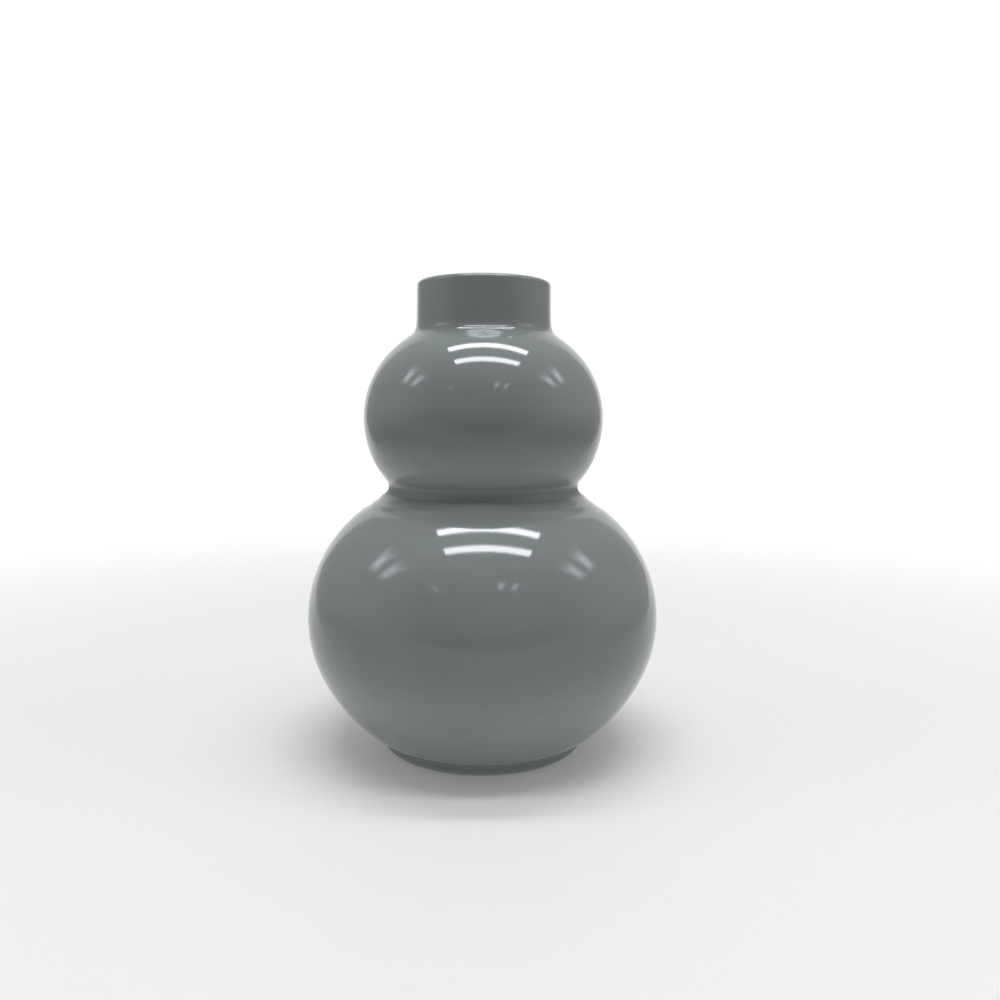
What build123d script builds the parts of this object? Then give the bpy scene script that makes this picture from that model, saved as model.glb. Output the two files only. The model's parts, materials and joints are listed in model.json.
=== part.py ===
"""A double gourd vase of glazed stoneware: thrown sections luted together at the foot, the waist and the neck."""

import os
from dataclasses import dataclass
from math import acos, atan2, cos, degrees, radians, sin, sqrt, tan

from build123d import *

os.makedirs("parts", exist_ok=True)

# Heights in millimetres, each from the level before it: under and bowl lie below a belly, shoulder and top above it
bare_foot_height = 0.3
foot_rise = 1.6
under_height = 66.5
shoulder_height = 69.6
bowl_height = 37.1
top_height = 46.1
neck_height = 25.9

# Radii in millimetres, over the glaze
foot_radius = 54.6
foot_edge_radius = 2.9
lower_belly_radius = 94.5
waist_radius = 48.7
upper_belly_radius = 64.1
mouth_bore_radius = 30.8
lip_radius = 2.4
neck_flare = 0.3

# How the walls curve: degrees, and shares of the curve that one plain arc or straight run would give
under_turn = 24.8
under_tightness_share = 0.897
shoulder_roundness_share = 0.622
top_roundness_share = 0.710

# Radii of the hollow creases between the sections, over the glaze. The neck's eases into its wall by a few degrees
foot_crease_radius = 2.0
waist_crease_radius = 4.9
neck_crease_radius = 7.1
neck_ease_radius = 45.0
neck_ease_turn = 6.3
floor_crease_radius = 12.0

# Thicknesses of clay and glaze
clay_wall = 4.0
floor_thickness = 5.5
glaze = 0.5

# Foot ring: the width of its bearing face and the rounding of that face's edges
bearing_width = 5.0
bearing_edge_radius = 0.25

# Luting coils: the height of each where it meets the outside, and the slope of the waist's and the neck's joints
foot_coil_height = 1.2
waist_coil_height = 4.4
neck_coil_height = 4.0
joint_bevel = 15

# How far the flat shapes that cut the sections apart run past the clay
overrun = 5.0

# Levels and radii that follow
foot_height = bare_foot_height + foot_edge_radius + foot_rise
lower_belly_level = foot_height + under_height
waist_level = lower_belly_level + shoulder_height
upper_belly_level = waist_level + bowl_height
neck_level = upper_belly_level + top_height
height = neck_level + neck_height
mouth_outer_radius = mouth_bore_radius + 2 * lip_radius
neck_root_radius = mouth_outer_radius + neck_flare
wall = clay_wall + 2 * glaze
half_share = 0.5


def direction(angle):
    """The unit vector at an angle above level, in degrees."""
    return Vector(cos(radians(angle)), sin(radians(angle)))


def angle_of(vector):
    """The angle of a vector above level, in degrees."""
    return degrees(atan2(vector.Y, vector.X))


@dataclass
class Bend:
    """An arc of an outline, with the angle of its outward normal at both ends. A crease has a negative radius."""

    centre: Vector
    radius: float
    start: float
    end: float

    def at(self, share, depth=0):
        """The point that lies a share of the way along, at a depth under the face."""
        angle = self.start + share * (self.end - self.start)
        return self.centre + direction(angle) * (self.radius - depth)

    def from_inside(self):
        """The same bend as the other face of the wall shows it."""
        return Bend(self.centre, wall - self.radius, self.end + 180, self.start + 180)


def rounded_to(belly, corner, roundness_share):
    """A bend from a belly's widest point that turns into a straight run to the corner, and the run's normal."""
    across = belly.X - corner.X
    up = corner.Y - belly.Y
    normal = degrees(atan2(across, up)) * (1 + roundness_share)
    radius = (up * direction(normal).Y - across * direction(normal).X) / (1 - direction(normal).X)
    return Bend(Vector(belly.X - radius, belly.Y), radius, 0, normal)


def arc_to(belly, corner):
    """The radius of the one arc that is upright at a belly's widest point and passes through the corner."""
    across = belly.X - corner.X
    up = corner.Y - belly.Y
    return (across * across + up * up) / (2 * across)


def crease_on_arc(corner, normal, radius, arc_centre, arc_radius):
    """The centre of a crease between an arc and the straight run through the corner with that normal."""
    along = direction(normal + 90)
    start = corner + direction(normal) * radius
    offset = start - arc_centre
    back = offset.dot(along)
    reach = sqrt(back * back - offset.dot(offset) + (arc_radius + radius) ** 2)
    return start - along * (back + reach)


def beside_both(corner, first_normal, first_gap, second_normal, second_gap):
    """The point that lies at its own distance from each of two straight runs through a corner."""
    turn = radians(first_normal - second_normal)
    along = (first_gap * cos(turn) - second_gap) / sin(turn)
    return corner + direction(first_normal) * first_gap + direction(first_normal + 90) * along


# Corners where the sections would meet without their creases, as radius and height
foot_corner = Vector(foot_radius, foot_height)
lower_belly = Vector(lower_belly_radius, lower_belly_level)
waist_corner = Vector(waist_radius, waist_level)
upper_belly = Vector(upper_belly_radius, upper_belly_level)
neck_corner = Vector(neck_root_radius, neck_level)
lip_centre = Vector(mouth_bore_radius + lip_radius, height - lip_radius)

# Foot: its rounded lower edge, which the glaze wraps down to the bearing face
foot_edge_centre = Vector(foot_radius - foot_edge_radius, bare_foot_height + foot_edge_radius)
foot_edge = Bend(foot_edge_centre, foot_edge_radius, -90, 0)
bearing_radius = foot_edge_centre.X

# Lower globe: two arcs under the belly and one over it
belly_arc = under_tightness_share * arc_to(lower_belly, foot_corner)
lower_side = Bend(lower_belly - Vector(belly_arc, 0), belly_arc, -under_turn, 0)
under_chord = foot_corner - lower_side.at(0)
under_radius = -under_chord.dot(under_chord) / (2 * under_chord.dot(direction(-under_turn)))
under_centre = lower_side.at(0) - direction(-under_turn) * under_radius
foot_crease_centre = crease_on_arc(foot_corner, 0, foot_crease_radius, under_centre, under_radius)
foot_normal = angle_of(foot_crease_centre - under_centre)
foot_crease = Bend(foot_crease_centre, -foot_crease_radius, 0, foot_normal)
under_side = Bend(under_centre, under_radius, foot_normal, -under_turn)
shoulder = rounded_to(lower_belly, waist_corner, shoulder_roundness_share)

# Upper globe: one arc up to its belly and one over it
bowl_radius = arc_to(upper_belly, waist_corner)
bowl_centre = upper_belly - Vector(bowl_radius, 0)
waist_centre = crease_on_arc(waist_corner, shoulder.end, waist_crease_radius, bowl_centre, bowl_radius)
bowl_normal = angle_of(waist_centre - bowl_centre)
waist_crease = Bend(waist_centre, -waist_crease_radius, shoulder.end, bowl_normal)
bowl = Bend(bowl_centre, bowl_radius, bowl_normal, 0)
top = rounded_to(upper_belly, neck_corner, top_roundness_share)

# Neck: a crease that eases into a straight run, which touches the round lip
neck_run = neck_corner - lip_centre
neck_normal = angle_of(neck_run) + degrees(acos(lip_radius / neck_run.length))
ease_start = neck_normal + neck_ease_turn
ease_shift = neck_ease_radius - neck_crease_radius
wall_gap = neck_ease_radius - ease_shift * cos(radians(neck_ease_turn))
neck_centre = beside_both(neck_corner, top.end, neck_crease_radius, neck_normal, wall_gap)
neck_crease = Bend(neck_centre, -neck_crease_radius, top.end, ease_start)
neck_ease = Bend(neck_centre + direction(ease_start) * ease_shift, -neck_ease_radius, ease_start, neck_normal)
lip = Bend(lip_centre, lip_radius, neck_normal, 90)
foot_bends = [foot_edge, foot_crease, under_side, lower_side]
outside = foot_bends + [shoulder, waist_crease, bowl, top, neck_crease, neck_ease, lip]

# Joints: each luting coil fills the wall between two cuts, which climb inwards so that the sections centre themselves
cut_radius = lower_belly_radius + overrun


def joint(crease, coil_height, bevel):
    """The two cuts of a joint, each as its point on the axis and its point past the clay."""
    middle = crease.at(half_share, glaze)
    slope = tan(radians(bevel))
    cuts = []
    for level in (middle.Y - coil_height / 2, middle.Y + coil_height / 2):
        on_axis = Vector(0, level + middle.X * slope)
        cuts.append((on_axis, on_axis + Vector(cut_radius, -cut_radius * slope)))
    return cuts


foot_joint = joint(foot_crease, foot_coil_height, 0)
waist_joint = joint(waist_crease, waist_coil_height, joint_bevel)
neck_joint = joint(neck_crease, neck_coil_height, joint_bevel)
under_the_foot = (Vector(0, -overrun), Vector(cut_radius, -overrun))
over_the_lip = (Vector(0, height + overrun), Vector(cut_radius, height + overrun))

# Inside: a straight mouth, the same bends as outside, and a crease round the floor
base_level = foot_joint[1][0].Y
floor_level = base_level + floor_thickness + glaze
mouth_crease_radius = neck_crease_radius + wall
run_start = neck_corner + direction(top.end) * neck_crease_radius
run_along = direction(top.end + 90)
run_length = (mouth_bore_radius + mouth_crease_radius - run_start.X) / run_along.X
mouth_centre = run_start + run_along * run_length
floor_centre_level = floor_level + floor_crease_radius
floor_reach = under_radius - wall - floor_crease_radius
floor_drop = under_centre.Y - floor_centre_level
floor_centre = Vector(under_centre.X + sqrt(floor_reach**2 - floor_drop**2), floor_centre_level)
floor_normal = angle_of(floor_centre - under_centre)
inside = [
    Bend(lip_centre, lip_radius, 90, 180),
    Bend(mouth_centre, mouth_crease_radius, 180, top.end + 180),
    top.from_inside(),
    bowl.from_inside(),
    waist_crease.from_inside(),
    shoulder.from_inside(),
    lower_side.from_inside(),
    Bend(under_centre, wall - under_radius, 180 - under_turn, floor_normal + 180),
    Bend(floor_centre, -floor_crease_radius, floor_normal + 180, 90),
]
ring_inner_radius = bearing_radius - bearing_width
shortest_run = glaze / 1000


def trace(start, bends, end, depth=0):
    """Draws an outline in the line being made: from start through the bends, at a depth under the face, to end."""
    last = start
    for bend in bends:
        points = [bend.at(share, depth) for share in (0, half_share, 1)]
        if (points[0] - last).length > shortest_run:
            Line(last, points[0])
        ThreePointArc(*points)
        last = points[2]
    if (end - last).length > shortest_run:
        Line(last, end)


def keep_between(lower_cut, upper_cut):
    """Keeps what the sketch being made holds between two cuts."""
    with BuildLine() as band:
        Polyline(lower_cut[0], lower_cut[1], upper_cut[1], upper_cut[0], close=True)
    make_face(band.edges(), mode=Mode.INTERSECT)


# The whole clay wall and floor in section, which the joints cut into pieces
with BuildSketch() as clay:
    with BuildLine():
        crest = Vector(lip_centre.X, height - glaze)
        clay_floor = Vector(0, floor_level - glaze)
        trace(Vector(bearing_radius, 0), outside, crest, glaze)
        trace(crest, inside, clay_floor, glaze)
        Polyline(
            clay_floor,
            (0, base_level),
            (ring_inner_radius, base_level),
            (ring_inner_radius, 0),
            (bearing_radius, 0),
        )
    make_face()

# Foot ring: turned clay, with both edges of its bearing face eased
with BuildPart() as foot_ring:
    with BuildSketch(Plane.XZ):
        add(clay.sketch)
        keep_between(under_the_foot, foot_joint[0])
    revolve(axis=Axis.Z)
    fillet(foot_ring.edges().filter_by(GeomType.CIRCLE).group_by(Axis.Z)[0], radius=bearing_edge_radius)
foot_ring.part.label = "foot_ring"
export_step(foot_ring.part, "parts/foot_ring.step")

# Coil of clay and slip between the foot ring and the lower globe
with BuildPart() as foot_luting_coil:
    with BuildSketch(Plane.XZ):
        add(clay.sketch)
        keep_between(*foot_joint)
    revolve(axis=Axis.Z)
foot_luting_coil.part.label = "foot_luting_coil"
export_step(foot_luting_coil.part, "parts/foot_luting_coil.step")

# Lower globe, with the floor that it was thrown on
with BuildPart() as lower_globe:
    with BuildSketch(Plane.XZ):
        add(clay.sketch)
        keep_between(foot_joint[1], waist_joint[0])
    revolve(axis=Axis.Z)
lower_globe.part.label = "lower_globe"
export_step(lower_globe.part, "parts/lower_globe.step")

# Coil in the waist
with BuildPart() as waist_luting_coil:
    with BuildSketch(Plane.XZ):
        add(clay.sketch)
        keep_between(*waist_joint)
    revolve(axis=Axis.Z)
waist_luting_coil.part.label = "waist_luting_coil"
export_step(waist_luting_coil.part, "parts/waist_luting_coil.step")

# Upper globe
with BuildPart() as upper_globe:
    with BuildSketch(Plane.XZ):
        add(clay.sketch)
        keep_between(waist_joint[1], neck_joint[0])
    revolve(axis=Axis.Z)
upper_globe.part.label = "upper_globe"
export_step(upper_globe.part, "parts/upper_globe.step")

# Coil at the root of the neck
with BuildPart() as neck_luting_coil:
    with BuildSketch(Plane.XZ):
        add(clay.sketch)
        keep_between(*neck_joint)
    revolve(axis=Axis.Z)
neck_luting_coil.part.label = "neck_luting_coil"
export_step(neck_luting_coil.part, "parts/neck_luting_coil.step")

# Neck, with its rolled lip
with BuildPart() as neck_collar:
    with BuildSketch(Plane.XZ):
        add(clay.sketch)
        keep_between(neck_joint[1], over_the_lip)
    revolve(axis=Axis.Z)
neck_collar.part.label = "neck_collar"
export_step(neck_collar.part, "parts/neck_collar.step")

# Glossy coat over the outside, from the edge of the bearing face to the crest of the lip
with BuildPart() as outer_glaze:
    with BuildSketch(Plane.XZ):
        with BuildLine():
            glaze_crest = Vector(lip_centre.X, height)
            trace(foot_edge.at(0), outside, glaze_crest)
            trace(foot_edge.at(0, glaze), outside, crest, glaze)
            Line(foot_edge.at(0), foot_edge.at(0, glaze))
            Line(glaze_crest, crest)
        make_face()
    revolve(axis=Axis.Z)
outer_glaze.part.label = "outer_glaze"
export_step(outer_glaze.part, "parts/outer_glaze.step")

# Liner glaze, poured in and drained out: the mouth, the walls and the floor
with BuildPart() as inner_glaze:
    with BuildSketch(Plane.XZ):
        with BuildLine():
            glaze_floor = Vector(0, floor_level)
            trace(glaze_crest, inside, glaze_floor)
            trace(crest, inside, clay_floor, glaze)
            Line(glaze_crest, crest)
            Line(glaze_floor, clay_floor)
        make_face()
    revolve(axis=Axis.Z)
inner_glaze.part.label = "inner_glaze"
export_step(inner_glaze.part, "parts/inner_glaze.step")

# Glaze in the recess under the floor
with BuildPart() as base_glaze:
    with BuildSketch(Plane.XY.offset(base_level)):
        Circle(ring_inner_radius)
    extrude(amount=-glaze)
base_glaze.part.label = "base_glaze"
export_step(base_glaze.part, "parts/base_glaze.step")

print(f"height {height:.1f}, widest {2 * lower_belly_radius:.1f}, mouth {2 * mouth_bore_radius:.1f} across")
print(f"straight mouth from {mouth_centre.Y:.2f} to {lip_centre.Y:.2f}")
print(f"base under the floor at {base_level:.2f}, ring inside radius {ring_inner_radius:.2f}, floor {floor_level:.2f}")
for bend in outside:
    print(f"bend radius {bend.radius:.2f}, normals {bend.start:.1f} to {bend.end:.1f}, ends at {bend.at(1)}")
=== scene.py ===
# %% [markdown]
# A gourd vase, from bare solids to a glazed pot.
# The solids of the vase are fixed: ten turned pieces of clay and glaze that fit into each other. This
# lesson loads them as a frame, gives them their finish, and sets them under long ceiling lamps on a pale
# floor. The real pot is smooth, glossy and grey all over, so most of the work goes into two things: a
# skin fine enough to mirror the lamps without a facet, and a glaze that is never one flat colour.

import json
import math

import bmesh
import bpy
from mathutils import Matrix, Vector

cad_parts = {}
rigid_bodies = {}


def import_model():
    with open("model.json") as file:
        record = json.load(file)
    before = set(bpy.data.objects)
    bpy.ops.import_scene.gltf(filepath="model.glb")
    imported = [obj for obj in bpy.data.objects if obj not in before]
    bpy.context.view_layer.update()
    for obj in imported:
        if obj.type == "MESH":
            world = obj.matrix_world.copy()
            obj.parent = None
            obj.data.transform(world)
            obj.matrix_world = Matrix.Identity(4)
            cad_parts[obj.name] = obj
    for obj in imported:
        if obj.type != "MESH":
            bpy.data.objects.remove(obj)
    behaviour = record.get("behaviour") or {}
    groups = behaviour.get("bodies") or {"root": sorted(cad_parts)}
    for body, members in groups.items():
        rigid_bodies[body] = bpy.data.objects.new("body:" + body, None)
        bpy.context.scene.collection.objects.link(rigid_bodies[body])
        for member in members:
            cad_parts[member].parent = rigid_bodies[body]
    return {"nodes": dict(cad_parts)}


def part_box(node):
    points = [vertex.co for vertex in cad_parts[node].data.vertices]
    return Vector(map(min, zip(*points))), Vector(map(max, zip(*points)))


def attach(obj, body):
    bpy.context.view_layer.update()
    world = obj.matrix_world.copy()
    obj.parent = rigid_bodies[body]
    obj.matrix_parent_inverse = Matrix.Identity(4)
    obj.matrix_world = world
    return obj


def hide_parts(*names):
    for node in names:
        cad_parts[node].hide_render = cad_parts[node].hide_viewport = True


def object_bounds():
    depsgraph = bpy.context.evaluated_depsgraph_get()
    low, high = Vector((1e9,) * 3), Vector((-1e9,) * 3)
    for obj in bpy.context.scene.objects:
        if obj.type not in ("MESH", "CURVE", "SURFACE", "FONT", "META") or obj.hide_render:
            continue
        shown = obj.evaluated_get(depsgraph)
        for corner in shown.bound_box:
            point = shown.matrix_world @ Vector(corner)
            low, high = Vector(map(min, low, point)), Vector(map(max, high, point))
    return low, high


for thing in list(bpy.data.objects):
    bpy.data.objects.remove(thing)
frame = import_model()
cad_low, cad_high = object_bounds()
MM = 0.001
print("CAD nodes:", ", ".join(sorted(frame["nodes"])))

# %% [markdown]
# The glaze changes where the clay is joined: at the foot, the waist and the root of the neck. Those
# heights could be typed in, but then they would be wrong as soon as the pot changes. They are read from
# the boxes of the solids instead, so the finish follows the pot.

# %% Measure the pot
def middle_level(node):
    """The height of the middle of a node."""
    low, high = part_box(node)
    return (low.z + high.z) / 2


height = cad_high.z
foot_level = middle_level("foot_luting_coil")
waist_level = middle_level("waist_luting_coil")
neck_level = middle_level("neck_luting_coil")
floor_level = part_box("inner_glaze")[0].z
levels = {
    "foot": foot_level, "floor": floor_level, "waist": waist_level, "neck": neck_level, "lip": height,
}
print("levels in mm:", {name: round(level / MM, 1) for name, level in levels.items()})

# %% [markdown]
# A potter checks a profile with a cut-out template, and a template is what is needed here: the outline of
# each turned skin, in the half plane where y is zero. It could be drawn again by hand, but the solid's
# own mesh already holds it, as the points along the seam of each turned face. Its faces are too coarse to
# mirror a lamp, so only the outline is taken from it.

# %% Read the outline of a turned solid
WELD = 0.002 * MM


def seam_of(node):
    """The points along the seam of a turned node, as (radius, height), from its lowest point outwards."""
    shape = bmesh.new()
    shape.from_mesh(frame["nodes"][node].data)
    bmesh.ops.remove_doubles(shape, verts=shape.verts, dist=WELD)
    left = {v for v in shape.verts if abs(v.co.y) < WELD and v.co.x > WELD}
    beside = {v: [e.other_vert(v) for e in v.link_edges if e.other_vert(v) in left] for v in left}
    ends = [v for v in left if len(beside[v]) == 1]
    here = min(ends or left, key=lambda v: (v.co.z, v.co.x))
    seam = []
    while here:
        left.discard(here)
        seam.append(Vector((here.co.x, here.co.z)))
        here = max((v for v in beside[here] if v in left), key=lambda v: v.co.x, default=None)
    shape.free()
    return seam


for node in ("outer_glaze", "inner_glaze", "foot_ring"):
    print(f"{node}: {len(seam_of(node))} points on its seam")

# %% [markdown]
# Points that lie on one circle are an arc that the potter's rib drew. A subdivision surface would round
# them off and shrink the pot a little. Reading them back as arcs gives the true curve instead, and the
# arc can then be cut as finely as a mirror finish needs: about a millimetre on the outside, where the
# lamps show, and much coarser where the skin lies hidden against the clay.

# %% Cut the outline finer
ON_ARC = 0.005 * MM
IN_LINE = 1e-12
FINE = {"step": 1.3 * MM, "turn": math.radians(3)}
HIDDEN = {"step": 8 * MM, "turn": math.radians(12)}


def circle_through(a, b, c):
    """The centre of the circle through three points, or None where they are in line."""
    u, v = b - a, c - a
    cross = 2 * (u.x * v.y - u.y * v.x)
    if abs(cross) < IN_LINE:
        return None
    uu, vv = u.length_squared, v.length_squared
    return a + Vector((v.y * uu - u.y * vv, u.x * vv - v.x * uu)) / cross


def arcs_of(points):
    """Splits an outline into runs, each as its points and the centre of its circle, or None if straight."""
    runs, start = [], 0
    while start < len(points) - 1:
        end, centre = start + 1, None
        third = start + 2
        if third + 1 < len(points):
            guess = circle_through(*points[start:third + 1])
            reach = third
            while guess and reach + 1 < len(points):
                miss = (points[reach + 1] - guess).length - (points[start] - guess).length
                if abs(miss) > ON_ARC:
                    break
                reach += 1
            if guess and reach > third:
                end = reach
                centre = circle_through(points[start], points[(start + reach) // 2], points[reach])
        runs.append((points[start:end + 1], centre))
        start = end
    return runs


def recut(points, step, turn):
    """The same outline with points no further apart than a step or a turn of its arcs."""
    finer = [points[0]]
    for run, centre in arcs_of(points):
        first, last = run[0], run[-1]
        if centre is None:
            count = max(1, math.ceil((last - first).length / step))
            finer += [first.lerp(last, i / count) for i in range(1, count + 1)]
            continue
        radius = (first - centre).length
        sweep = sum((a - centre).angle_signed(b - centre) for a, b in zip(run, run[1:]))
        count = max(1, math.ceil(max(abs(sweep) * radius / step, abs(sweep) / turn)))
        for i in range(1, count + 1):
            finer.append(centre + Matrix.Rotation(-sweep * i / count, 2) @ (first - centre))
    return finer


coarse = seam_of("outer_glaze")
print(f"outer glaze: {len(arcs_of(coarse))} arcs and runs, recut into {len(recut(coarse, **FINE))} points")

# %% [markdown]
# Each skin shows on one side and lies on clay on the other. One fine cut all round would be simpler, but
# half of its faces would never be seen. So the outline is recut finely up to its crest, and coarsely back
# down. Where a skin crosses the axis, as the liner does on the floor, the outline starts and ends on the
# axis, and the skin closes there by itself. Beside every point stands a number, 1 where it shows and 0
# where it is hidden, so that later marks are only made on the side that shows.

# %% Split each outline into what shows and what is hidden
FADE_POINTS = 6


def template(node, on_axis=False):
    """The closed outline of a turned skin, and for each point 1 if it shows and 0 if it is hidden."""
    seam = seam_of(node)
    if on_axis:
        if seam[0].y < seam[-1].y:
            seam.reverse()
        seam = [Vector((0, seam[0].y)), *seam, Vector((0, seam[-1].y))]
    else:
        seam.append(seam[0])
    crest = max(range(len(seam)), key=lambda i: seam[i].y)
    shown = recut(seam[:crest + 1], **FINE)
    hidden = recut(seam[crest:], **HIDDEN)
    last = len(shown) - 1
    shows = [min(1.0, i / FADE_POINTS, (last - i) / FADE_POINTS) for i in range(len(shown))]
    return shown + hidden[1:], shows + [0.0] * (len(hidden) - 1)


def ring_template(node):
    """The closed outline of a small turned ring, finely cut all round, with nothing marked as shown."""
    seam = seam_of(node)
    points = recut(seam + seam[:1], **FINE)
    return points, [0.0] * len(points)


for node, on_axis in (("outer_glaze", False), ("inner_glaze", True)):
    points, shows = template(node, on_axis)
    print(f"{node}: {len(points)} points, {int(sum(shows))} of them show")

# %% [markdown]
# Node trees are built by the same few moves again and again: make a node, set it, wire it. Clicking them
# together by hand is quicker once, but a script can be read, repeated and changed. These helpers keep the
# trees short enough to read, and serve geometry and materials alike.

# %% Helpers for node trees
def wire(tree, socket, value):
    """Gives an input socket a value, or a link from another node's output."""
    if isinstance(value, bpy.types.NodeSocket):
        tree.links.new(value, socket)
    else:
        socket.default_value = value


def node_in(tree, kind, inputs=None, **settings):
    """A new node with its settings and inputs."""
    made = tree.nodes.new(kind)
    for name, value in settings.items():
        setattr(made, name, value)
    for name, value in (inputs or {}).items():
        wire(tree, made.inputs[name], value)
    return made


def sum_in(tree, operation, *values):
    """The output of a Math node."""
    made = node_in(tree, "ShaderNodeMath", operation=operation)
    for socket, value in zip(made.inputs, values):
        wire(tree, socket, value)
    return made.outputs[0]


def parts_in(tree, vector):
    """The X, Y and Z outputs of a vector."""
    return node_in(tree, "ShaderNodeSeparateXYZ", {"Vector": vector}).outputs


print("node helpers:", ", ".join(helper.__name__ for helper in (wire, node_in, sum_in, parts_in)))

# %% [markdown]
# A turned pot is one outline swung round an axis, which is a rule, so Geometry Nodes can throw it. The
# Screw modifier could too, but not with marks that fade. The tree takes its sizes as named inputs. Two of
# its jobs come first: to look up what the outline holds at a point, and to mark the skin. A wheel leaves
# faint rings, so the side that shows is drawn in a little by a slow noise along its height, and never
# out, because the pot may not outgrow its solid. The rings are far too shallow to see except in what the
# glaze mirrors.

# %% What the wheel looks up, and how it marks
WHEEL_INPUTS = (
    ("Outline", "Geometry"), ("Steps round", "Int"), ("Ring depth", "Float"),
    ("Ring spacing", "Float"), ("Seed", "Float"), ("Glaze", "Material"),
)


def looked_up(tree, outline_mesh, index, value, kind):
    """What the outline holds at a point, as the output of a Sample Index node."""
    inputs = {"Geometry": outline_mesh, "Index": index, "Value": value}
    return node_in(tree, "GeometryNodeSampleIndex", inputs, data_type=kind).outputs["Value"]


def ring_marks(tree, given, point, shows):
    """How far the skin is drawn in at a height: a slow noise, only where it shows."""
    climb = sum_in(tree, "ADD", sum_in(tree, "DIVIDE", point["Z"], given["Ring spacing"]), given["Seed"])
    inputs = {"W": climb, "Scale": 1, "Detail": 1}
    wave = node_in(tree, "ShaderNodeTexNoise", inputs, noise_dimensions="1D")
    depth = sum_in(tree, "MULTIPLY", wave.outputs["Fac"], given["Ring depth"])
    return sum_in(tree, "MULTIPLY", depth, shows)


print("the wheel asks for:", ", ".join(name for name, kind in WHEEL_INPUTS))

# %% [markdown]
# The wheel itself starts from a flat grid, with as many columns as the outline has points and one row
# more than the wheel has steps. Each grid point looks up its outline point by its column, and its row
# says how far round it goes. Merging the doubled points closes the seam and the poles. A loop in Python
# could place the same points, but a tree can be opened in Blender, where each of its inputs is tried out
# by eye.

# %% The wheel, as a geometry tree
HALF_GRID = 0.5


def wheel_tree():
    """The tree that swings an outline, given as a mesh, round the Z axis."""
    tree = bpy.data.node_groups.new("Potter's wheel", "GeometryNodeTree")
    for name, kind in WHEEL_INPUTS:
        tree.interface.new_socket(name, in_out="INPUT", socket_type=f"NodeSocket{kind}")
    tree.interface.new_socket("Skin", in_out="OUTPUT", socket_type="NodeSocketGeometry")
    given = node_in(tree, "NodeGroupInput").outputs

    sizes = node_in(tree, "GeometryNodeAttributeDomainSize", {"Geometry": given["Outline"]})
    count = sizes.outputs["Point Count"]
    rows = sum_in(tree, "ADD", given["Steps round"], 1)
    grid_sizes = {"Size X": 1, "Size Y": 1, "Vertices X": count, "Vertices Y": rows}
    grid = node_in(tree, "GeometryNodeMeshGrid", grid_sizes)
    place = node_in(tree, "GeometryNodeInputPosition").outputs["Position"]
    share = parts_in(tree, place)
    along = sum_in(tree, "ADD", share["X"], HALF_GRID)
    column = sum_in(tree, "ROUND", sum_in(tree, "MULTIPLY", along, sum_in(tree, "SUBTRACT", count, 1)))
    angle = sum_in(tree, "MULTIPLY", sum_in(tree, "ADD", share["Y"], HALF_GRID), math.tau)

    point = parts_in(tree, looked_up(tree, given["Outline"], column, place, "FLOAT_VECTOR"))
    marks = node_in(tree, "GeometryNodeInputNamedAttribute", {"Name": "shows"}, data_type="FLOAT")
    shows = looked_up(tree, given["Outline"], column, marks.outputs["Attribute"], "FLOAT")
    depth = ring_marks(tree, given, point, shows)
    radius = sum_in(tree, "MAXIMUM", sum_in(tree, "SUBTRACT", point["X"], depth), 0)
    turned = node_in(tree, "ShaderNodeCombineXYZ", {
        "X": sum_in(tree, "MULTIPLY", radius, sum_in(tree, "COSINE", angle)),
        "Y": sum_in(tree, "MULTIPLY", radius, sum_in(tree, "SINE", angle)),
        "Z": point["Z"],
    })
    moved = {"Geometry": grid.outputs["Mesh"], "Position": turned.outputs["Vector"]}
    shape = node_in(tree, "GeometryNodeSetPosition", moved)
    for kind, inputs in (
        ("GeometryNodeMergeByDistance", {"Distance": WELD}),
        ("GeometryNodeSetShadeSmooth", {}),
        ("GeometryNodeRealizeInstances", {}),
        ("GeometryNodeSetMaterial", {"Material": given["Glaze"]}),
    ):
        step = node_in(tree, kind, inputs)
        tree.links.new(shape.outputs[0], step.inputs[0])
        shape = step
    tree.links.new(shape.outputs[0], node_in(tree, "NodeGroupOutput").inputs["Skin"])
    return tree


wheel = wheel_tree()
wheel_sockets = {s.name: s.identifier for s in wheel.interface.items_tree if s.in_out == "INPUT"}
print("wheel inputs:", wheel_sockets)

# %% [markdown]
# The tree is run once for each skin, and its result is kept as a plain mesh, because a modifier would be
# run again at every change. A closed skin holds a volume, and a positive one means that its faces point
# outwards, so both are checked and printed.

# %% Throw a skin on the wheel
def closed_mesh(mesh):
    """Turns the faces of a closed mesh outwards, and returns its volume in cubic millimetres."""
    shape = bmesh.new()
    shape.from_mesh(mesh)
    bmesh.ops.delete(shape, geom=[e for e in shape.edges if not e.link_faces], context="EDGES")
    bmesh.ops.recalc_face_normals(shape, faces=shape.faces)
    open_edges = sum(1 for e in shape.edges if len(e.link_faces) != 2)
    volume = shape.calc_volume(signed=True) / MM**3
    shape.to_mesh(mesh)
    shape.free()
    assert open_edges == 0 and volume > 0, f"{mesh.name}: {open_edges} open edges, volume {volume:.0f}"
    return volume


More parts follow.
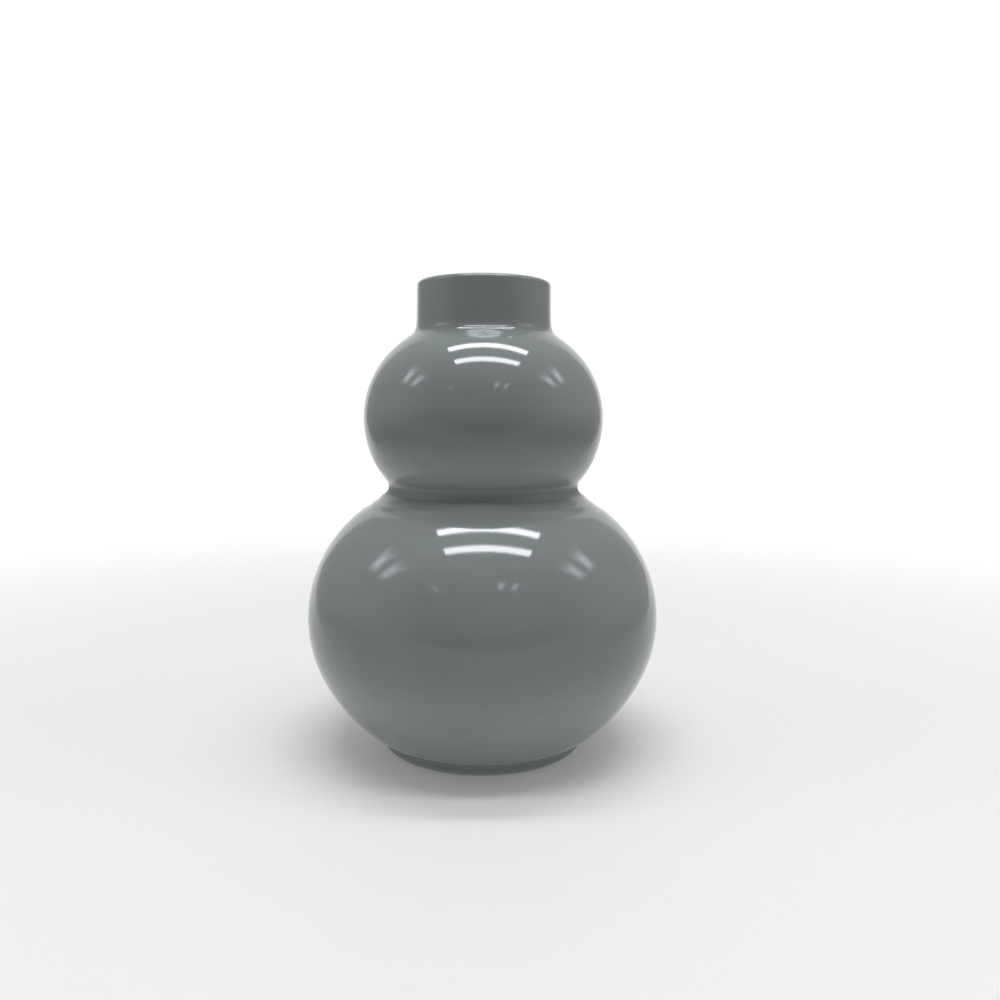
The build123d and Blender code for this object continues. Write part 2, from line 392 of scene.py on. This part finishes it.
def thrown(name, outline_and_shows, material, **sizes):
    """A skin thrown on the wheel from an outline, as an object with a plain mesh."""
    points, shows = outline_and_shows
    mesh = bpy.data.meshes.new(name)
    mesh.from_pydata([(p.x, 0, p.y) for p in points], [(i, i + 1) for i in range(len(points) - 1)], [])
    mesh.attributes.new("shows", "FLOAT", "POINT").data.foreach_set("value", shows)
    skin = bpy.data.objects.new(name, mesh)
    bpy.context.scene.collection.objects.link(skin)
    modifier = skin.modifiers.new("Wheel", "NODES")
    modifier.node_group = wheel
    for key, value in {**sizes, "Glaze": material}.items():
        modifier[wheel_sockets[key]] = value
    ready = skin.evaluated_get(bpy.context.evaluated_depsgraph_get())
    skin.data = bpy.data.meshes.new_from_object(ready)
    skin.data.name = name
    skin.modifiers.clear()
    volume = closed_mesh(skin.data)
    triangles = sum(len(p.vertices) - 2 for p in skin.data.polygons)
    print(f"{name}: {triangles} triangles, {volume:.0f} cubic mm")
    return skin


print("ready to throw on the", wheel.name)

# %% [markdown]
# Every finish reads the same coordinates: the object's own, in metres, from which the height is picked
# out. Patterns that run round the pot are noises squashed flat along the height, because the wheel draws
# every mark out into a ring. An image wrapped round the pot would need a seam somewhere, and these need
# none.

# %% Helpers for materials
def material_with(name, **sockets):
    """A new material, its tree, its shader with plain values, and its Object coordinates."""
    material = bpy.data.materials.new(name)
    material.use_nodes = True
    tree = material.node_tree
    shader = tree.nodes["Principled BSDF"]
    for socket, value in sockets.items():
        shader.inputs[socket.replace("_", " ")].default_value = value
    return material, tree, shader, node_in(tree, "ShaderNodeTexCoord").outputs["Object"]


def noise_in(tree, place, size, flatten=1.0, detail=2.0):
    """A noise from 0 to 1 whose blotches are about as wide as size, and flattened in height by a share."""
    scale = (1 / size, 1 / size, 1 / (size * flatten))
    mapping = node_in(tree, "ShaderNodeMapping", {"Vector": place, "Scale": scale})
    inputs = {"Vector": mapping.outputs["Vector"], "Scale": 1, "Detail": detail}
    return node_in(tree, "ShaderNodeTexNoise", inputs).outputs["Fac"]


def blend_in(tree, factor, first, second):
    """A colour between two colours."""
    mix = node_in(tree, "ShaderNodeMix", data_type="RGBA")
    for name, value in (("Factor_Float", factor), ("A_Color", first), ("B_Color", second)):
        wire(tree, next(s for s in mix.inputs if s.identifier == name), value)
    return next(s for s in mix.outputs if s.identifier == "Result_Color")


def ramp_in(tree, value, low, high, top=1.0):
    """A value taken softly from low to high, as 0 to top."""
    limits = {"Value": value, "From Min": low, "From Max": high, "To Max": top}
    return node_in(tree, "ShaderNodeMapRange", limits, interpolation_type="SMOOTHSTEP").outputs["Result"]


def band_in(tree, level, middle, below, above, top=1.0):
    """0 to top in a band round the pot: most at its middle height, and softly less below and above it."""
    rising = ramp_in(tree, level, middle - below, middle, top)
    falling = ramp_in(tree, level, middle + above, middle, top)
    return sum_in(tree, "MINIMUM", rising, falling)


material_helpers = (material_with, noise_in, blend_in, ramp_in, band_in)
print("material helpers:", ", ".join(helper.__name__ for helper in material_helpers))

# %% [markdown]
# The outer glaze is a cool mid grey. It runs down before it freezes, so it gathers above the foot and in
# the narrow hollows of the waist and the neck's root. There it is thicker and darker, and above the foot
# and in the waist that darker band is also painted shade. Under each belly the glaze is darker as painted
# shade, and on both shoulders and on the overhang above the waist it is paler as painted light. It is
# thinner and paler over the lip, and at its wiped edge on the foot it is paler as thinner glaze and as
# painted light. At the foot, round the waist, on the overhang and at the neck's root it is a little duller.
# Each of these places is a band round the pot. Painting them by hand would give freer edges, but a band
# that is counted from a measured level stays right when the pot changes.

# %% The colours and bands of the glaze
GLAZE_GREY = (0.149, 0.167, 0.163, 1)
GLAZE_CLOUD = (0.166, 0.184, 0.180, 1)
# Pooled glaze, and also the colour of the painted shade bands
GLAZE_POOL_AND_PAINTED_SHADE = (0.107, 0.121, 0.119, 1)
# Thinner glaze over the lip, and also the colour of the painted light bands
GLAZE_THIN_AND_PAINTED_LIGHT = (0.214, 0.237, 0.230, 1)
# Above the foot the glaze gathers, and this band also paints the shade near the floor
FOOT_POOL_AND_PAINTED_SHADE = {"middle": foot_level + 4 * MM, "below": 5 * MM, "above": 13 * MM, "top": 0.5}
# Glaze gathered in the waist's hollow, with a little painted shade
WAIST_POOL_AND_PAINTED_SHADE = {"middle": waist_level - 1.5 * MM, "below": 3.5 * MM, "above": 4 * MM, "top": 0.1}
NECK_POOL = {"middle": neck_level, "below": 3 * MM, "above": 3 * MM, "top": 0.3}
FLOOR_POOL = {"middle": floor_level, "below": 3 * MM, "above": 9 * MM, "top": 0.7}
# Painted shade: darker bands under the lower and the upper belly
LOWER_BELLY_PAINTED_SHADE = {"middle": waist_level - 72 * MM, "below": 28 * MM, "above": 22 * MM, "top": 0.42}
UPPER_BELLY_PAINTED_SHADE = {"middle": waist_level + 28 * MM, "below": 13 * MM, "above": 16 * MM, "top": 0.68}
# Painted light: paler bands on both shoulders and on the overhang above the waist
LOWER_SHOULDER_PAINTED_LIGHT = {"middle": waist_level - 10 * MM, "below": 28 * MM, "above": 7 * MM, "top": 0.5}
OVERHANG_PAINTED_LIGHT = {"middle": waist_level + 6 * MM, "below": 5 * MM, "above": 11 * MM, "top": 1.0}
UPPER_SHOULDER_PAINTED_LIGHT = {"middle": neck_level - 8 * MM, "below": 22 * MM, "above": 8 * MM, "top": 0.43}
WAIST_DULL = {"middle": waist_level - 1 * MM, "below": 6 * MM, "above": 5.5 * MM, "top": 0.45}
OVERHANG_DULL = {"middle": waist_level + 13 * MM, "below": 10 * MM, "above": 10 * MM, "top": 0.15}
FOOT_DULL = {"middle": 0.0, "below": 1 * MM, "above": 12 * MM, "top": 0.4}
NECK_DULL = {"middle": neck_level + 1 * MM, "below": 2.5 * MM, "above": 5 * MM, "top": 0.14}
# Bands of pooled glaze and painted shade, of painted light, and of dull glaze
outer_pools_and_painted_shade = (FOOT_POOL_AND_PAINTED_SHADE, LOWER_BELLY_PAINTED_SHADE, WAIST_POOL_AND_PAINTED_SHADE, UPPER_BELLY_PAINTED_SHADE, NECK_POOL)
outer_painted_lights = (LOWER_SHOULDER_PAINTED_LIGHT, OVERHANG_PAINTED_LIGHT, UPPER_SHOULDER_PAINTED_LIGHT)
outer_dulls = (FOOT_DULL, WAIST_DULL, OVERHANG_DULL, NECK_DULL)
# The pooled bands include painted shade, and the thin bands are painted light
print(f"bands: {len(outer_pools_and_painted_shade)} where the glaze pools, {len(outer_painted_lights)} thin, {len(outer_dulls)} dull")

# %% [markdown]
# Close up the glaze is a little cloudy, because the coat is never quite even. One Principled shader
# carries all of this. The gloss comes from its own reflection, and the roughness is low, because the
# lamps are mirrored almost sharply. A clear coat over a matt base would look much the same, but needs two
# layers. An orange-peel bump a fiftieth of a millimetre deep is enough to make the mirrored lamps look
# poured and not printed.

# %% Glaze
GLAZE_IOR = 1.52
OUTER_ROUGHNESS, LINER_ROUGHNESS = 0.05, 0.07
CLOUD_SIZE, CLOUD_DETAIL, CLOUD_LIMITS = 60 * MM, 3, (0.3, 0.7)
STREAK_SIZE, STREAK_FLATTEN, STREAK_LIMITS, STREAK_STRENGTH = 90 * MM, 0.04, (0.35, 0.75), 0.35
MOTTLE_SIZE, MOTTLE_LIMITS, MOTTLE_STRENGTH, MOTTLE_ROUGHNESS = 5 * MM, (0.45, 0.75), 0.25, 0.03
# The lip's glaze is thinner; the paler band at the foot's wiped edge is thinner glaze and painted light
LIP_THINS, EDGE_THIN_AND_PAINTED_LIGHT, THIN_AND_PAINTED_LIGHT_STRENGTH = 2.5 * MM, 5 * MM, 0.42
LIP_DULLS = 0.19
PEEL_SIZE, PEEL_DEPTH = 9 * MM, 0.02 * MM


def glaze(name, grey, cloud, pools_and_shade, roughness, painted_light_bands=(), dulls=()):
    """A glossy glaze that clouds and streaks, with bands of pooled glaze and painted shade, bands of
    painted light, and dull bands.
    """
    material, tree, shader, place = material_with(name, IOR=GLAZE_IOR)
    level = parts_in(tree, place)["Z"]
    clouds = ramp_in(tree, noise_in(tree, place, CLOUD_SIZE, detail=CLOUD_DETAIL), *CLOUD_LIMITS)
    colour = blend_in(tree, clouds, grey, cloud)
    streaks = noise_in(tree, place, STREAK_SIZE, STREAK_FLATTEN)
    streaks = ramp_in(tree, streaks, *STREAK_LIMITS, STREAK_STRENGTH)
    colour = blend_in(tree, streaks, colour, grey)
    mottle = noise_in(tree, place, MOTTLE_SIZE)
    colour = blend_in(tree, ramp_in(tree, mottle, *MOTTLE_LIMITS, MOTTLE_STRENGTH), colour, cloud)
    # Painted light bands make it paler; pooled glaze and painted shade bands make it darker
    for band in painted_light_bands:
        colour = blend_in(tree, band_in(tree, level, **band), colour, GLAZE_THIN_AND_PAINTED_LIGHT)
    for band in pools_and_shade:
        colour = blend_in(tree, band_in(tree, level, **band), colour, GLAZE_POOL_AND_PAINTED_SHADE)
    over_lip = ramp_in(tree, level, height - LIP_THINS, height)
    # Paler at the foot's wiped edge: thinner glaze, and painted light over the shade near the floor
    edge_thin_and_painted_light = ramp_in(tree, level, EDGE_THIN_AND_PAINTED_LIGHT, 0)
    thin = sum_in(tree, "MULTIPLY", sum_in(tree, "MAXIMUM", over_lip, edge_thin_and_painted_light), THIN_AND_PAINTED_LIGHT_STRENGTH)
    colour = blend_in(tree, thin, colour, GLAZE_THIN_AND_PAINTED_LIGHT)
    wire(tree, shader.inputs["Base Color"], colour)
    rough = sum_in(tree, "ADD", sum_in(tree, "MULTIPLY", mottle, MOTTLE_ROUGHNESS), roughness)
    rough = sum_in(tree, "ADD", rough, sum_in(tree, "MULTIPLY", over_lip, LIP_DULLS))
    for band in dulls:
        rough = sum_in(tree, "ADD", rough, band_in(tree, level, **band))
    wire(tree, shader.inputs["Roughness"], rough)
    waves = noise_in(tree, place, PEEL_SIZE)
    peel = node_in(tree, "ShaderNodeBump", {"Height": waves, "Distance": PEEL_DEPTH})
    wire(tree, shader.inputs["Normal"], peel.outputs["Normal"])
    return material


outer_finish = glaze(
    "Grey glaze", GLAZE_GREY, GLAZE_CLOUD, outer_pools_and_painted_shade, OUTER_ROUGHNESS, outer_painted_lights, outer_dulls
)
liner_finish = glaze("Liner glaze", GLAZE_POOL_AND_PAINTED_SHADE, GLAZE_GREY, (FLOOR_POOL,), LINER_ROUGHNESS)
print("glazes:", outer_finish.name, "and", liner_finish.name)

# %% [markdown]
# The clay itself shows only where the pot stands: the foot ring is wiped free of glaze, or it would stick
# to the kiln shelf. Fired stoneware is matt and sandy, with pale grains of ground pot in it, the grog. A
# photograph of clay would hold all that, but its edges would show on a ring. A Voronoi texture gives the
# grains instead, and a fine noise the tooth of the surface. The same clay is given to the walls under the
# glaze, and a darker, wetter mix to the luting coils, so the pot is right if someone cuts it open.

# %% Bare clay
CLAY_BUFF = (0.40, 0.36, 0.31, 1)
CLAY_DARK = (0.27, 0.235, 0.195, 1)
GROG = (0.55, 0.51, 0.45, 1)
CLAY_IOR = 1.45
CLAY_ROUGHNESS, COIL_ROUGHNESS = 0.85, 0.9
CLAY_DETAIL = 4
PATCH_SIZE, PATCH_LIMITS = 14 * MM, (0.3, 0.75)
GRAIN_SPACING, GRAIN_EDGE, GRAIN_HEART = 1.4 * MM, 0.24, 0.12
TOOL_MARK_SIZE, TOOL_MARK_FLATTEN = 30 * MM, 0.02
TOOTH_SIZE, TOOTH_DEPTH = 0.8 * MM, 0.12 * MM


def bare_clay(name, body, roughness):
    """Fired stoneware, with a few pale grains of grog and the fine rings of the turning tool."""
    material, tree, shader, place = material_with(name, Roughness=roughness, IOR=CLAY_IOR)
    patches = ramp_in(tree, noise_in(tree, place, PATCH_SIZE, detail=CLAY_DETAIL), *PATCH_LIMITS)
    colour = blend_in(tree, patches, body, CLAY_DARK)
    cells = node_in(tree, "ShaderNodeTexVoronoi", {"Vector": place, "Scale": 1 / GRAIN_SPACING})
    grains = ramp_in(tree, cells.outputs["Distance"], GRAIN_EDGE, GRAIN_HEART)
    colour = blend_in(tree, grains, colour, GROG)
    wire(tree, shader.inputs["Base Color"], colour)
    tooth = noise_in(tree, place, TOOTH_SIZE, detail=CLAY_DETAIL)
    rings = noise_in(tree, place, TOOL_MARK_SIZE, TOOL_MARK_FLATTEN)
    rough_face = sum_in(tree, "ADD", tooth, rings)
    bump = node_in(tree, "ShaderNodeBump", {"Height": rough_face, "Distance": TOOTH_DEPTH})
    wire(tree, shader.inputs["Normal"], bump.outputs["Normal"])
    return material


clay_finish = bare_clay("Stoneware", CLAY_BUFF, CLAY_ROUGHNESS)
coil_finish = bare_clay("Luting clay", CLAY_DARK, COIL_ROUGHNESS)
print("clays:", clay_finish.name, "and", coil_finish.name)

# %% [markdown]
# Three pieces are thrown anew: the glaze outside, the liner glaze inside, and the foot ring that shows
# from below. They replace the coarse meshes of their solids and keep their place and size. The outside
# was smoothed with a rib while it turned, so its rings are only a hundredth of a millimetre deep. Inside,
# fingers left deeper ones, which the liner glaze half fills.

# %% Throw the skins
STEPS_ROUND = 230
SMOOTHED = {"Steps round": STEPS_ROUND, "Ring depth": 0.01 * MM, "Ring spacing": 11 * MM, "Seed": 3.0}
FINGERED = {"Steps round": STEPS_ROUND, "Ring depth": 0.2 * MM, "Ring spacing": 7 * MM, "Seed": 8.0}
TRIMMED = {"Steps round": STEPS_ROUND, "Ring depth": 0.0, "Ring spacing": 1 * MM, "Seed": 0.0}
glaze_coat = thrown("glaze_coat", template("outer_glaze"), outer_finish, **SMOOTHED)
liner_coat = thrown("liner_coat", template("inner_glaze", on_axis=True), liner_finish, **FINGERED)
turned_foot = thrown("turned_foot", ring_template("foot_ring"), clay_finish, **TRIMMED)
for piece, node, slot in (
    (glaze_coat, "outer_glaze", "grey_glaze"),
    (liner_coat, "inner_glaze", "liner_glaze"),
    (turned_foot, "foot_ring", "stoneware"),
):
    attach(piece, "root")
    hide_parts(node)

# %% [markdown]
# The other solids stay as they are, because no one sees their faces unless the pot is broken: the clay
# walls between the two glazes, and the coils in the joints. They only get their clay. The disc of glaze
# in the recess under the floor is flat, so its coarse mesh is exact, and it gets the outer glaze.

# %% Finish the solids that stay
def dress(node, material):
    """Gives a CAD node its material."""
    data = frame["nodes"][node].data
    data.materials.clear()
    data.materials.append(material)


for node in ("lower_globe", "upper_globe", "neck_collar"):
    dress(node, clay_finish)
for node in ("foot_luting_coil", "waist_luting_coil", "neck_luting_coil"):
    dress(node, coil_finish)
dress("base_glaze", outer_finish)
print("dressed", sum(1 for n in frame["nodes"].values() if n.data.materials), "nodes")

# %% [markdown]
# A glossy pot shows its room, so the room matters as much as the glaze. In front it is dim, where the
# viewer stands. To the sides it is brighter, and behind the pot it is white, as a photographer's
# background is. A studio would be built of paper and walls. Here one rule gives the light of a direction:
# a colour ramp over the angle round the pot, from straight in front to straight behind. The floor and the
# world both use it. Someone who walks round the pot shouldn't see those walls, though, but a plain white
# backdrop all round. So the Light Path node shows white to the camera, and the room to the glaze and to
# everything that it lights.

# %% The light of a direction
WALL_LIGHT = ((0, 0.22), (40, 0.22), (72, 0.64), (95, 0.68), (125, 0.46), (146.3, 0.46), (148.5, 0.95))
HALF_TURN = 180
PURE_WHITE = (1, 1, 1, 1)


def room_light(tree, way):
    """The light that comes along a way: dim in front, brighter at the sides, and white behind the pot."""
    across = parts_in(tree, way)
    flat = node_in(tree, "ShaderNodeCombineXYZ", {"X": across["X"], "Y": across["Y"]}).outputs["Vector"]
    level = node_in(tree, "ShaderNodeVectorMath", {0: flat}, operation="NORMALIZE").outputs["Vector"]
    to_front = sum_in(tree, "MULTIPLY", parts_in(tree, level)["Y"], -1)
    turned = sum_in(tree, "DIVIDE", sum_in(tree, "ARCCOSINE", to_front), math.pi)
    ramp = node_in(tree, "ShaderNodeValToRGB", {"Fac": turned})
    stops = ramp.color_ramp.elements
    stops.remove(stops[1])
    for degrees, value in WALL_LIGHT:
        stop = stops[0] if degrees == 0 else stops.new(degrees / HALF_TURN)
        stop.color = (value, value, value, 1)
    return ramp.outputs["Color"]


def backdrop_light(tree, light):
    """White for the camera and for what glass sends on, and the light of the room for everything else."""
    rays = node_in(tree, "ShaderNodeLightPath").outputs
    seen = sum_in(tree, "MAXIMUM", rays["Is Camera Ray"], rays["Is Transmission Ray"])
    return blend_in(tree, seen, light, PURE_WHITE)


print("room light by degrees from the front:", dict(WALL_LIGHT))

# %% [markdown]
# The floor is pale and plain, and catches the soft shadow of the foot. It could end at a wall, but then
# the pot would mirror a hard line. So further out it turns softly into the light of the room, like a
# sheet of paper that sweeps up behind a product. Its ways are counted from a point on the floor in front
# of the pot, where the photograph was taken, so that the white part of the room lies behind the pot as it
# does there. Near the pot the floor has a faint glow of its own, so that it stays pale in the picture and
# in the glaze.

# %% The floor
FLOOR_HALF = 6.0
FLOOR_COLOUR = (0.616, 0.602, 0.594, 1)
FLOOR_GLOW = 0.12
FLOOR_ROUGHNESS, FLOOR_IOR = 0.6, 1.3
SWEEP_FROM, SWEEP_TO = 0.14, 0.9
WAYS_START = (0, -0.47, 0)


def seen_plainly(tree):
    """1 for the rays that show the background: the camera's, and those that gloss and glass send on."""
    rays = node_in(tree, "ShaderNodeLightPath").outputs
    gloss = sum_in(tree, "MAXIMUM", rays["Is Glossy Ray"], rays["Is Transmission Ray"])
    return sum_in(tree, "MAXIMUM", rays["Is Camera Ray"], gloss)


def floor_material():
    """Pale paper that turns into the light of the room."""
    paper = {"Base_Color": FLOOR_COLOUR, "Roughness": FLOOR_ROUGHNESS, "IOR": FLOOR_IOR}
    finish, tree, shader, place = material_with("Pale floor", Emission_Color=PURE_WHITE, **paper)
    glow = sum_in(tree, "MULTIPLY", seen_plainly(tree), FLOOR_GLOW)
    wire(tree, shader.inputs["Emission Strength"], glow)
    way = node_in(tree, "ShaderNodeVectorMath", {0: place, 1: WAYS_START}, operation="SUBTRACT")
    light = room_light(tree, way.outputs["Vector"])
    sweep = node_in(tree, "ShaderNodeEmission", {"Strength": backdrop_light(tree, light)})
    far = node_in(tree, "ShaderNodeVectorMath", {0: place}, operation="LENGTH").outputs["Value"]
    blend = node_in(tree, "ShaderNodeMixShader", {0: ramp_in(tree, far, SWEEP_FROM, SWEEP_TO)})
    tree.links.new(shader.outputs[0], blend.inputs[1])
    tree.links.new(sweep.outputs[0], blend.inputs[2])
    tree.links.new(blend.outputs[0], tree.nodes["Material Output"].inputs["Surface"])
    return finish


floor_mesh = bpy.data.meshes.new("floor")
floor_corners = [(x * FLOOR_HALF, y * FLOOR_HALF, 0) for x, y in ((-1, -1), (1, -1), (1, 1), (-1, 1))]
floor_mesh.from_pydata(floor_corners, [], [(0, 1, 2, 3)])
floor_mesh.materials.append(floor_material())
floor = bpy.data.objects.new("floor", floor_mesh)
bpy.context.scene.collection.objects.link(floor)
print(f"floor {2 * FLOOR_HALF:.0f} m wide, sweeping from {SWEEP_FROM} to {SWEEP_TO} m")

# %% [markdown]
# The rest of the room is the world. Low down it has the light of the walls, and from a certain height it
# turns into an evenly lit ceiling. A photographed room would be richer, but it would also bring its own
# pictures into the glaze.

# %% The room, as a world
CEILING_LIGHT = 0.42
CEILING_FROM, CEILING_TO = 0.42, 0.9

world = bpy.data.worlds.new("Room")
bpy.context.scene.world = world
world.use_nodes = True
tree = world.node_tree
way = node_in(tree, "ShaderNodeTexCoord").outputs["Generated"]
up = ramp_in(tree, parts_in(tree, way)["Z"], CEILING_FROM, CEILING_TO)
wall = sum_in(tree, "MULTIPLY", sum_in(tree, "SUBTRACT", 1, up), room_light(tree, way))
light = sum_in(tree, "ADD", wall, sum_in(tree, "MULTIPLY", up, CEILING_LIGHT))
background = tree.nodes["Background"]
background.inputs["Color"].default_value = PURE_WHITE
wire(tree, background.inputs["Strength"], backdrop_light(tree, light))
print(f"ceiling light {CEILING_LIGHT}, from {math.degrees(math.asin(CEILING_TO)):.0f} degrees up")

# %% [markdown]
# A lamp that is mirrored in a glaze needs a shape. A point lamp has none, and a glowing mesh would light
# the pot with more noise, so these are area lamps. Each is given its radiance, where 1 is as bright as
# white paper in full light, and its power follows from its size. A soft edge is made of a few lamps, one
# under the other.

# %% How a lamp is hung
LAMP_COLOUR = (0.962, 1.0, 1.028)
GLOW_SHARES = (1.0, 0.72, 0.44)
GLOW_STEP = 2 * MM


def hang_lamp(name, place, size, radiance):
    """A flat lamp that faces down, with the power that its radiance and size give."""
    lamp = bpy.data.lights.new(name, "AREA")
    lamp.shape = "RECTANGLE"
    lamp.size, lamp.size_y = size
    lamp.energy = radiance * math.pi * size[0] * size[1]
    lamp.color = LAMP_COLOUR
    hung = bpy.data.objects.new(name, lamp)
    hung.location = place
    bpy.context.scene.collection.objects.link(hung)
    print(f"{name}: {size[0]:.2f} by {size[1]:.2f} m, {lamp.energy:.1f} W")
    return hung


def hang_soft(name, place, size, radiance):
    """A lamp with glowing edges: smaller lamps hang under larger ones, each brighter than those above."""
    for number, share in enumerate(GLOW_SHARES):
        lower = Vector(place) - Vector((0, 0, number * GLOW_STEP))
        brighter = radiance * (number + 1) / len(GLOW_SHARES)
        hang_lamp(name, lower, (size[0] * share, size[1] * share), brighter)


print(f"a soft lamp is {len(GLOW_SHARES)} lamps, {GLOW_STEP / MM:.0f} mm apart")

# %% [markdown]
# What the glaze shows most are the lamps: two rows of long ceiling tubes, which both globes mirror as
# pairs of bright bars, and the root of the neck as a small ring. Their places come from their mirror
# images: each image, with the slope of the pot where it lies, gives a line, and the lines from both
# globes cross at the lamps. Each tube lies in a tray that glows a little, which softens its edge. The
# tubes further along the rows are blurred and dim, so they are wider and weaker. Three downlights in
# front leave small marks.

# %% The ceiling lamps
CEILING = 1.5
TUBE_ROWS = (0.05, -0.455)
NEAR_TUBE = {"start": -0.525, "end": 0.67}
TUBE_WIDTH, TUBE_RADIANCE = 0.14, 10.7
TRAY_WIDTH, TRAY_RADIANCE = 0.22, 4.5
FAR_TUBES = ({"start": -2.5, "end": -1.3}, {"start": 1.3, "end": 2.4})
FAR_WIDTH, FAR_RADIANCE = 0.40, 1.8
DOWNLIGHT_ROW = -1.62
DOWNLIGHTS = ({"x": -1.12, "radiance": 0.8}, {"x": 0.39, "radiance": 1.7}, {"x": 0.71, "radiance": 1.5})
DOWNLIGHT_SIZE = (0.2, 0.5)


def middle_and_length(tube, row, level=CEILING):
    """Where the middle of a tube hangs, and how long it is."""
    return ((tube["start"] + tube["end"]) / 2, row, level), tube["end"] - tube["start"]


for row in TUBE_ROWS:
    middle, length = middle_and_length(NEAR_TUBE, row)
    hang_lamp("tray", middle, (length, TRAY_WIDTH), TRAY_RADIANCE)
    middle, length = middle_and_length(NEAR_TUBE, row, CEILING - GLOW_STEP)
    hang_lamp("ceiling_tube", middle, (length, TUBE_WIDTH), TUBE_RADIANCE)
    for tube in FAR_TUBES:
        middle, length = middle_and_length(tube, row)
        hang_soft("far_tube", middle, (length, FAR_WIDTH), FAR_RADIANCE)
for light in DOWNLIGHTS:
    hang_soft("downlight", (light["x"], DOWNLIGHT_ROW, CEILING), DOWNLIGHT_SIZE, light["radiance"])

# %% [markdown]
# The photographed pot stands on something bright, which lights it from below. The pale floor does some of
# that, and a weak disc of light that lies on it does the rest. A brighter floor would do it all, but the
# glaze would mirror it. The disc isn't part of the picture, so neither the camera nor the glaze may see
# it. It only reaches what is soft and matt in the glaze.

# %% Light from below
FILL_RADIUS, FILL_RADIANCE = 0.8, 0.35
FILL_LIFT = 0.5 * MM
# The disc keeps the power of the square round it
fill = hang_lamp("fill_from_below", (0, 0, FILL_LIFT), (2 * FILL_RADIUS, 2 * FILL_RADIUS), FILL_RADIANCE)
fill.data.shape = "DISK"
fill.rotation_euler.x = math.pi
fill.visible_camera = False
fill.visible_glossy = False
fill.visible_transmission = False

# %% [markdown]
# The camera stands where the photograph was taken. Its place was found by fitting the pot's outline as a
# pinhole camera would see it: close, a little above the waist, and looking slightly down. The small turn
# and roll put the axis of the pot where the photograph has it.

# %% The camera
CAMERA_AWAY, CAMERA_HEIGHT = 470.9 * MM, 180.6 * MM
CAMERA_DOWN, CAMERA_RIGHT, CAMERA_ROLL = (math.radians(angle) for angle in (5.68, 1.105, 0.29))
LENS, SENSOR = 31.19, 36

camera = bpy.data.objects.new("camera", bpy.data.cameras.new("camera"))
bpy.context.scene.collection.objects.link(camera)
camera.data.lens = LENS
camera.data.sensor_width = SENSOR
camera.matrix_world = (
    Matrix.Translation((0, -CAMERA_AWAY, CAMERA_HEIGHT))
    @ Matrix.Rotation(-CAMERA_RIGHT, 4, "Z")
    @ Matrix.Rotation(math.pi / 2 - CAMERA_DOWN, 4, "X")
    @ Matrix.Rotation(CAMERA_ROLL, 4, "Z")
)
bpy.context.scene.camera = camera
bpy.context.scene.view_settings.view_transform = "Standard"
print(f"camera {CAMERA_AWAY / MM:.0f} mm away and {CAMERA_HEIGHT / MM:.0f} mm up")

# %% [markdown]
# The pot must be exactly as large as its solids say, whatever was done to its skin. The box of the
# solids is printed.

# %% Print the box of the solids
print("CAD box in mm:", [round(v / MM, 2) for v in (*cad_low, *cad_high)])
